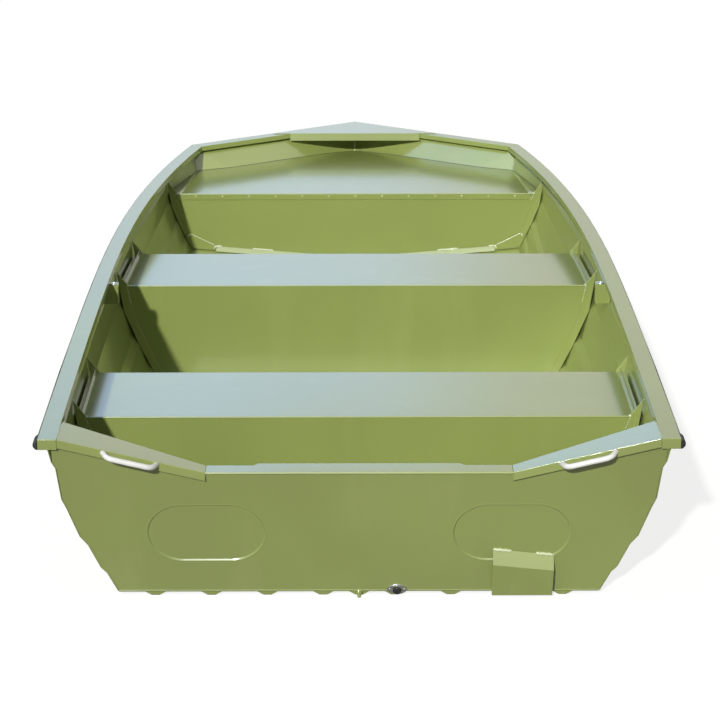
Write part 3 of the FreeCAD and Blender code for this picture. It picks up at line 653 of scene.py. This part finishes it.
def makeNoses(facts):
    # folded rear edges of the seats, and the fold along the transom's top
    work = bmesh.new()
    back = Vector((0, -1, 0))
    for seat, short in (("aft_bench_seat", 0.012), ("middle_bench_seat", 0.012), ("bow_bench_seat", 0.001)):
        low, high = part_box(seat)
        panelLow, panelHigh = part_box(seat.replace("seat", "rear_panel"))
        half = panelHigh.x + short
        top = panelHigh.z + 0.0028 + facts["lift"]
        ends = [Vector((side * half, low.y + facts["over"] / 2, top)) for side in (-1, 1)]
        nose(work, ends[0], ends[1], back, facts["over"], facts["radius"])
    pieceFrom(work, "seat_folds", paint)

    work = bmesh.new()
    low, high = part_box("transom_cap")
    ends = [Vector((side * high.x, low.y + 0.001, high.z + facts["lift"])) for side in (-1, 1)]
    nose(work, ends[0], ends[1], back, 0.0028, 0.0055)
    pieceFrom(work, "transom_fold", paint)

    work = bmesh.new()
    foot = cornersOf("transom_plate", lambda spot: spot.z < plateLow.z + 0.002)
    half = max(spot.x for spot in foot)
    rows = []
    for level, standoff in ((0.0045, 0.0001), (0.0040, 0.0009), (0.0005, 0.0009), (-0.0010, 0.0004), (-0.0014, -0.002)):
        rows.append([work.verts.new(onTransom(x, level, standoff)) for x in (-half, half)])
    for above, below in zip(rows, rows[1:]):
        work.faces.new((above[0], above[1], below[1], below[0]))
    pieceFrom(work, "transom_foot_fold", paint)


makeNoses(noseFacts)


def makeTransomWelds():
    work = bmesh.new()
    # transducer bracket: two beads along its upper edge
    low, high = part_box("transducer_bracket")
    level = (high.z - transomFacts["ribDepth"]) / math.cos(rake)
    lean = 0.019 / (high.x - low.x)
    for start, end in ((0.0, 0.05), (0.112, high.x - low.x)):
        route = [onTransom(low.x + reach, level - lean * reach, -0.0004) for reach in (start, end)]
        bead(work, route, aft + upSlope, size=1.05)
    # upright beads where the corner plates meet the rail ends
    plateLow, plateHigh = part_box("corner_plate_starboard")
    for side in (-1, 1):
        foot = Vector((side * plateHigh.x, plateLow.y + 0.0045, plateHigh.z))
        bead(work, [foot - up * 0.001, foot - up * 0.022], Vector((0, -1, 0)), size=0.6)
        bead(work, [foot + Vector((0, 0.004, 0.0)), foot + Vector((0, 0.11, 0.0))], up, size=0.35)
    pieceFrom(work, "transom_welds", weldHighlightPaint)


def stitch(work, start, end, way, spacing, radius, height):
    # a row of small weld spots
    count = max(2, int((end - start).length / spacing))
    for number in range(count + 1):
        spot = start.lerp(end, number / count)
        spot = spot + Vector((random.uniform(-1, 1), 0, random.uniform(-1, 1))) * spacing * 0.12
        dome(work, spot, way, radius * random.uniform(0.8, 1.15), height, 8, 3)


def makeBenchWelds():
    work = bmesh.new()
    back = Vector((0, -1, 0))
    for bench, run in (("aft_bench", 0.042), ("middle_bench", 0.062), ("bow_bench", 0.03)):
        seatLow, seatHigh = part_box(bench + "_seat")
        framesLow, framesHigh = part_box(bench + "_frames")
        rear = cornersOf(bench + "_frames", lambda spot: spot.x > 0 and spot.y < framesLow.y + 0.0005)
        tip = max(rear, key=lambda spot: spot.z)
        shoulder = max((spot for spot in rear if spot != tip), key=lambda spot: spot.z)
        lower = min((spot for spot in rear if 0.01 < shoulder.z - spot.z < 0.2), key=lambda spot: spot.x,
                    default=shoulder - up * 0.05)
        heel = shoulder.lerp(lower, min(1, run / (shoulder - lower).length))
        for side in (-1, 1):
            def across(spot):
                return Vector((side * spot.x, spot.y, spot.z))
            stitch(work, across(shoulder) - up * 0.006, across(heel), back, 0.0058, 0.0021, 0.0016)
            stitch(work, across(shoulder), across(tip), back, 0.0048, 0.0013, 0.001)
            corner = Vector((side * (abs(shoulder.x) - 0.002), seatLow.y - 0.0015, shoulder.z - 0.004))
            dome(work, corner, back + up, 0.0042, 0.003, 10, 4)
    # tabs along the bow floor strip
    low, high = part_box("bow_floor_strip")
    tall = 0.018
    climb = (high.z - low.z - tall) / high.x
    for side in (-1, 1):
        for centre, half in ((0.345, 0.04), (high.x - 0.012, 0.012)):
            route = [Vector((side * x, high.y - 0.002, low.z + tall + 0.001 + climb * x)) for x in (centre - half, centre + half)]
            bead(work, route, Vector((0, -0.6, 1)), size=1.15)
    for side in (-1, 1):
        corners = cornersOf("bow_gusset_starboard", lambda spot: True)
        tip = max(corners, key=lambda spot: spot.z)
        foot = min(corners, key=lambda spot: spot.x)
        start = Vector((side * (foot.x + 0.005), foot.y, foot.z + 0.021))
        end = Vector((side * tip.x, foot.y, tip.z))
        bead(work, [start, end], Vector((-side * 0.3, -1, 1)), size=0.5)
        bead(work, [start + Vector((-side * 0.006, -0.002, 0)), start + Vector((side * 0.002, -0.002, -0.014))],
             Vector((0, -1, 0.5)), size=1.2)
        bead(work, [end, end + Vector((side * 0.008, -0.001, -0.012))], Vector((0, -1, 0.5)), size=0.9)
    pieceFrom(work, "bench_welds", weldHighlightPaint)


def makeShadowSeams():
    # painted shadow: dark beads, shaped like sealant, standing for the shade line along the front of the bow seat and
    # under the bow rails' inner edge
    work = bmesh.new()
    low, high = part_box("bow_bench_seat")
    front = cornersOf("bow_bench_seat", lambda spot: spot.x > -0.0001 and spot.z > high.z - 0.0005 and spot.y > low.y + 0.1)
    front = sorted(front, key=lambda spot: spot.x)
    railLow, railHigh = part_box("bow_rail_starboard")
    top = cornersOf("bow_rail_starboard", lambda spot: spot.z > railHigh.z - 0.0005)
    tip = min((spot for spot in top if spot.x < 0.001), key=lambda spot: spot.y)
    corner = min((spot for spot in top if spot.x > 0.3), key=lambda spot: spot.x)
    for side in (-1, 1):
        route = [Vector((side * spot.x, spot.y + 0.001, spot.z)) for spot in front]
        bead(work, route, up, size=0.55)
        # painted shadow line just under the rail's top edge
        run = [corner, corner.lerp(tip, 0.56)]
        route = [Vector((side * spot.x, spot.y - 0.0004, spot.z - 0.0042)) for spot in run]
        bead(work, route, Vector((-side * 0.5, -1, 0)), size=0.5)
    pieceFrom(work, "painted_shadow_seams", seamShadowPaint)


random.seed(4)
makeTransomWelds()
makeBenchWelds()
makeShadowSeams()


def makeStemWeld():
    spots = sorted({(round(v.co.y, 4), round(v.co.z, 5)) for v in frame["nodes"]["bow_panel_starboard"].data.vertices
                    if abs(v.co.x) < 0.001})
    stations = sorted({y for y, z in spots})
    work = bmesh.new()
    inside = [Vector((0, y, max(z for place, z in spots if place == y))) for y in stations]
    outside = [Vector((0, y, min(z for place, z in spots if place == y))) for y in stations]
    bead(work, inside[:-1], Vector((0, -0.5, 1)), size=1.3)
    bead(work, outside[:-1], Vector((0, 0.5, -1)), size=1.3)
    pieceFrom(work, "stem_weld", weldHighlightPaint)


makeStemWeld()


seatEdgeFacts = {
    "thickness": 0.0016,
    "drop": 0.0004,          # below the seat's top
    "inset": 0.003,          # ahead of the seat's aft edge, clear of the side frames
    "bite": 0.0006,          # past the sheet's face, as the weld closes it
    "stations": 12,
}


def makeSeatEdges(facts):
    # closing strips between the bow seat and the stepped side sheets
    low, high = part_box("bow_bench_seat")
    onTop = cornersOf("bow_bench_seat", lambda spot: spot.x > 0.3 and spot.z > high.z - 0.0005)
    aftCorner = max(onTop, key=lambda spot: (spot.x, -spot.y))
    foreCorner = max((spot for spot in onTop if spot.y > low.y + 0.1), key=lambda spot: spot.x)
    for side, way in (("starboard", 1), ("port", -1)):
        sheet = frame["nodes"]["side_sheet_" + side].data
        tree = BVHTree.FromPolygons([v.co for v in sheet.vertices], [tuple(face.vertices) for face in sheet.polygons])
        work = bmesh.new()
        rings = []
        for station in range(facts["stations"] + 1):
            inner = aftCorner.lerp(foreCorner, station / facts["stations"])
            y = max(inner.y, low.y + facts["inset"])
            z = high.z - facts["drop"]
            reach = tree.ray_cast(Vector((0, y, z)), Vector((way, 0, 0)))[0]
            if reach is None:
                continue
            ends = (inner.x - 0.0004, abs(reach.x) + facts["bite"])
            ring = [(ends[0], z), (ends[1], z), (ends[1], z - facts["thickness"]), (ends[0], z - facts["thickness"])]
            rings.append([work.verts.new((way * x, y, level)) for x, level in ring])
        for first, second in zip(rings, rings[1:]):
            for part in range(4):
                after = (part + 1) % 4
                work.faces.new((first[part], first[after], second[after], second[part]))
        closeRing(work, rings[0])
        closeRing(work, rings[-1])
        pieceFrom(work, "bow_seat_edge_" + side, paint)


makeSeatEdges(seatEdgeFacts)
print("details ready")


# ---- stage, light and camera

stage = {
    "floorTone": (0.29, 0.29, 0.29, 1),
    "floorGlow": 0.81,           # what the camera sees added, so that the floor meets a white backdrop
    "skyHigh": (0.52, 0.70, 1.0, 1),
    "skyLow": (0.54, 0.58, 0.68, 1),
    "skyRight": (0.465, 0.47, 0.45, 1),
    "skyFar": (0.17, 0.18, 0.165, 1),      # well to either side
    "skyGloss": 1.9,
    "skyFill": 0.19,
    "sunPower": 3.2,
    "sunWay": (0.45, 1.6, -1.0),
    "sunWidth": 2.0,
}


def makeFloor(look):
    mesh = bpy.data.meshes.new("floor")
    work = bmesh.new()
    bmesh.ops.create_grid(work, x_segments=8, y_segments=8, size=60)
    work.to_mesh(mesh)
    work.free()
    floor = bpy.data.objects.new("floor", mesh)
    scene.collection.objects.link(floor)
    material, start = newMaterial("studio_floor")
    ray = start.add("LightPath", None, None, 0)
    matt = start.add("BsdfDiffuse", None, {"Color": look["floorTone"]})
    glow = start.add("Emission", None, {"Color": (1, 1, 1, 1), "Strength": ray * look["floorGlow"]})
    finishMaterial(start, start.add("AddShader", None, {0: matt, 1: glow}))
    mesh.materials.append(material)


def makeSky(look):
    world = bpy.data.worlds.new("studio_sky")
    scene.world = world
    world.use_nodes = True
    world.node_tree.nodes.clear()
    start = Wire(world.node_tree)
    way = start.add("TexCoord", None, None, 0)
    across = start.add("SeparateXYZ", None, {0: way}, 0)
    climb = start.add("SeparateXYZ", None, {0: way}, 2)
    glossy = start.add("LightPath", None, None, 3)
    seen = start.add("LightPath", None, None, 0)
    skyLeft = climb.band(0.2, 0.33).blend(look["skyLow"], look["skyHigh"])
    sky = across.band(0.0, 0.09).blend(skyLeft, look["skyRight"])
    behind = climb.band(0.366, 0.376) * across.band(-0.05, -0.03)
    sky = behind.blend(sky, look["skyRight"])
    near = across.band(-0.2, -0.165) - across.band(0.34, 0.42)
    overhead = climb.band(0.4, 0.55)
    sky = (near + overhead - near * overhead).blend(look["skyFar"], sky)
    sky = seen.blend(glossy.blend((1, 1, 1, 1), sky), (1, 1, 1, 1))
    level = look["skyFill"] + (look["skyGloss"] - look["skyFill"]) * glossy
    level = level + seen * (1.0 - level)
    back = start.add("Background", None, {"Color": sky, "Strength": level})
    start.add("OutputWorld", None, {"Surface": back})


def makeSun(look):
    light = bpy.data.lights.new("key_light", "SUN")
    light.energy = look["sunPower"]
    light.angle = math.radians(look["sunWidth"])
    light.color = (1.0, 0.985, 0.95)
    lamp = bpy.data.objects.new("key_light", light)
    scene.collection.objects.link(lamp)
    lamp.rotation_euler = Vector(look["sunWay"]).to_track_quat("-Z", "Y").to_euler()


makeFloor(stage)
makeSky(stage)
makeSun(stage)

cameraFacts = {
    "place": (-0.027, -6.849, 2.4715),
    "pitch": 1.2358,
    "roll": 0.0,
    "turn": -0.0056,
    "lens": 109.08,
    "sensor": 36,
}
camera = bpy.data.objects.new("camera", bpy.data.cameras.new("camera"))
scene.collection.objects.link(camera)
camera.data.lens = cameraFacts["lens"]
camera.data.sensor_width = cameraFacts["sensor"]
camera.location = cameraFacts["place"]
camera.rotation_euler = (cameraFacts["pitch"], cameraFacts["roll"], cameraFacts["turn"])
scene.camera = camera
scene.view_settings.view_transform = "Standard"
print("stage ready")
